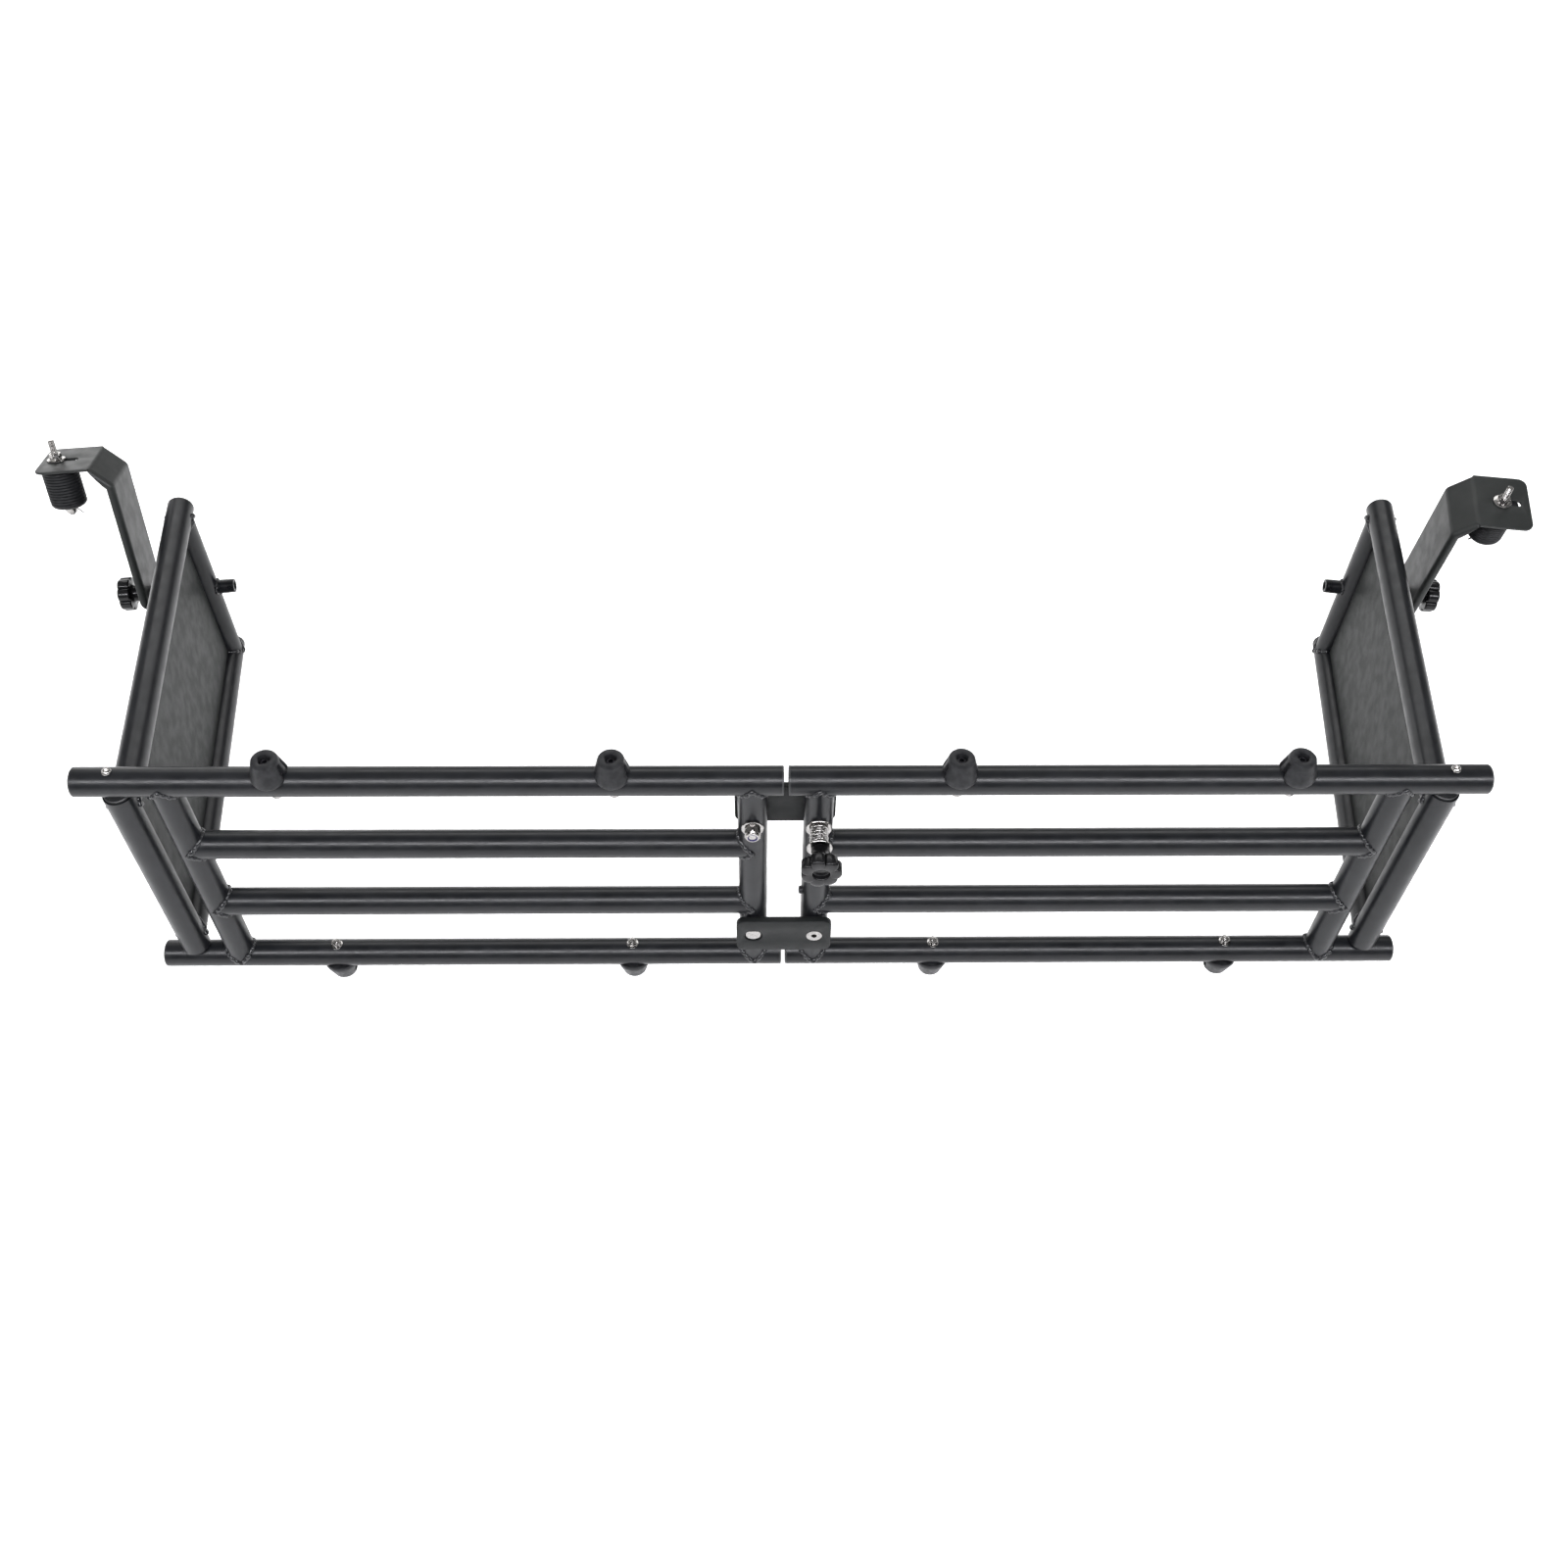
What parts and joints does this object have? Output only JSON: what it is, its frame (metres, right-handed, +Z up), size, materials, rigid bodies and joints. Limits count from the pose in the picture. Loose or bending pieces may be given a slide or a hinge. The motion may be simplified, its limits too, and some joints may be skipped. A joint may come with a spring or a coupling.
{
  "type": "truck bed extender",
  "caption": "Tubular folding cage for a pickup bed: split gate, two hinged side panels, and clamped brackets with expansion plugs.",
  "frame": {"origin": "on the floor under the middle of the cage's bounding box", "axes": "+X across the vehicle, from the half with the lock nut to the half with the release knob; +Y from the gate towards the rear posts of the side panels; +Z up"},
  "size_m": [1.8434, 0.6301, 0.4085],
  "materials": {
    "coated_tube": "satin black powder coat",
    "coated_sheet": "satin dark grey powder coat",
    "zinc": "bright zinc plate",
    "bumper_rubber": "smooth black rubber",
    "plug_rubber": "ribbed black rubber",
    "knob_plastic": "moulded black plastic, part gloss",
    "cap_plastic": "black plastic"
  },
  "bodies": {
    "left_gate": {"left_top_rail": "coated_tube", "left_bottom_rail": "coated_tube", "left_rungs": "coated_tube", "left_gate_posts": "coated_tube", "left_rail_caps": "cap_plastic", "left_top_bumpers": "bumper_rubber", "left_feet": "bumper_rubber", "left_bumper_bolts": "zinc", "left_bumper_nuts": "zinc", "upper_joint_plate": "coated_sheet", "joint_bolt": "zinc", "joint_lock_nut": "zinc", "guide_pin": "zinc"},
    "right_gate": {"right_top_rail": "coated_tube", "right_bottom_rail": "coated_tube", "right_rungs": "coated_tube", "right_gate_posts": "coated_tube", "right_rail_caps": "cap_plastic", "right_top_bumpers": "bumper_rubber", "right_feet": "bumper_rubber", "right_bumper_bolts": "zinc", "right_bumper_nuts": "zinc", "lower_joint_plate": "coated_sheet", "plate_screw": "zinc", "post_washer": "zinc", "release_spring": "zinc"},
    "thrust_washer": {"thrust_washer": "zinc"},
    "release_knob": {"release_knob": "knob_plastic", "release_screw": "zinc"},
    "left_panel": {"left_front_post": "coated_tube", "left_rear_post": "coated_tube", "left_panel_top_tube": "coated_tube", "left_panel_bottom_tube": "coated_tube", "left_infill": "coated_sheet", "left_pivot_stub": "coated_tube", "left_panel_plugs": "cap_plastic", "left_pivot_screws": "zinc"},
    "left_bracket": {"left_bracket": "coated_sheet"},
    "left_clamp_screw": {"left_clamp_screw": "zinc"},
    "left_clamp_knob": {"left_clamp_knob": "knob_plastic"},
    "left_plug": {"left_rail_plug": "plug_rubber", "left_plug_stud": "zinc", "left_plug_nut": "zinc"},
    "left_wing_nut": {"left_wing_nut": "zinc"},
    "right_panel": {"right_front_post": "coated_tube", "right_rear_post": "coated_tube", "right_panel_top_tube": "coated_tube", "right_panel_bottom_tube": "coated_tube", "right_infill": "coated_sheet", "right_pivot_stub": "coated_tube", "right_panel_plugs": "cap_plastic", "right_pivot_screws": "zinc"},
    "right_bracket": {"right_bracket": "coated_sheet"},
    "right_clamp_screw": {"right_clamp_screw": "zinc"},
    "right_clamp_knob": {"right_clamp_knob": "knob_plastic"},
    "right_plug": {"right_rail_plug": "plug_rubber", "right_plug_stud": "zinc", "right_plug_nut": "zinc"},
    "right_wing_nut": {"right_wing_nut": "zinc"}
  },
  "joints": [
    {"name": "half_release", "type": "slide", "parent": "left_gate", "child": "right_gate", "axis": [0, -1, 0], "range_m": [0, 0.05]},
    {"name": "release_travel", "type": "slide", "parent": "right_gate", "child": "thrust_washer", "axis": [0, -1, 0], "range_m": [0, 0.012], "deforming": ["release_spring"]},
    {"name": "release_turn", "type": "hinge", "parent": "thrust_washer", "child": "release_knob", "pos_m": [0.0355, -0.298, 0.298], "axis": [0, -1, 0], "range_deg": [0, 2880]},
    {"name": "left_panel_hinge", "type": "hinge", "parent": "left_gate", "child": "left_panel", "pos_m": [-0.701, -0.238, 0.197], "axis": [0, 0, -1], "range_deg": [-80, 57]},
    {"name": "left_bracket_pivot", "type": "hinge", "parent": "left_panel", "child": "left_bracket", "pos_m": [-0.82403, 0.22244, 0.197], "axis": [-0.9925, -0.1219, 0], "continuous": true},
    {"name": "left_clamp_travel", "type": "slide", "parent": "left_panel", "child": "left_clamp_screw", "axis": [-0.9925, -0.1219, 0], "range_m": [0, 0.012]},
    {"name": "left_clamp_turn", "type": "hinge", "parent": "left_clamp_screw", "child": "left_clamp_knob", "pos_m": [-0.85381, 0.21878, 0.197], "axis": [-0.9925, -0.1219, 0], "range_deg": [0, 2880]},
    {"name": "left_plug_slide", "type": "slide", "parent": "left_bracket", "child": "left_plug", "axis": [-0.9925, -0.1219, 0], "range_m": [-0.021, 0.002]},
    {"name": "left_wing_nut_turn", "type": "hinge", "parent": "left_plug", "child": "left_wing_nut", "pos_m": [-0.89955, 0.25084, 0.31931], "axis": [0.0356, -0.2902, -0.9563], "continuous": true},
    {"name": "right_panel_hinge", "type": "hinge", "parent": "right_gate", "child": "right_panel", "pos_m": [0.701, -0.238, 0.197], "axis": [0, 0, 1], "range_deg": [-80, 57]},
    {"name": "right_bracket_pivot", "type": "hinge", "parent": "right_panel", "child": "right_bracket", "pos_m": [0.83205, 0.22022, 0.197], "axis": [0.9903, -0.1392, 0], "continuous": true},
    {"name": "right_clamp_travel", "type": "slide", "parent": "right_panel", "child": "right_clamp_screw", "axis": [0.9903, -0.1392, 0], "range_m": [0, 0.012]},
    {"name": "right_clamp_turn", "type": "hinge", "parent": "right_clamp_screw", "child": "right_clamp_knob", "pos_m": [0.86176, 0.21605, 0.197], "axis": [0.9903, -0.1392, 0], "range_deg": [0, 2880]},
    {"name": "right_plug_slide", "type": "slide", "parent": "right_bracket", "child": "right_plug", "axis": [0.9903, -0.1392, 0], "range_m": [-0.005, 0.018]},
    {"name": "right_wing_nut_turn", "type": "hinge", "parent": "right_plug", "child": "right_wing_nut", "pos_m": [0.88422, 0.19268, 0.32332], "axis": [0.0218, 0.1549, -0.9877], "continuous": true}
  ],
  "couplings": [
    {"joint": "release_travel", "follows": "release_turn", "m_per_rad": 0.00023873},
    {"joint": "left_clamp_travel", "follows": "left_clamp_turn", "m_per_rad": 0.00023873},
    {"joint": "right_clamp_travel", "follows": "right_clamp_turn", "m_per_rad": 0.00023873}
  ]
}
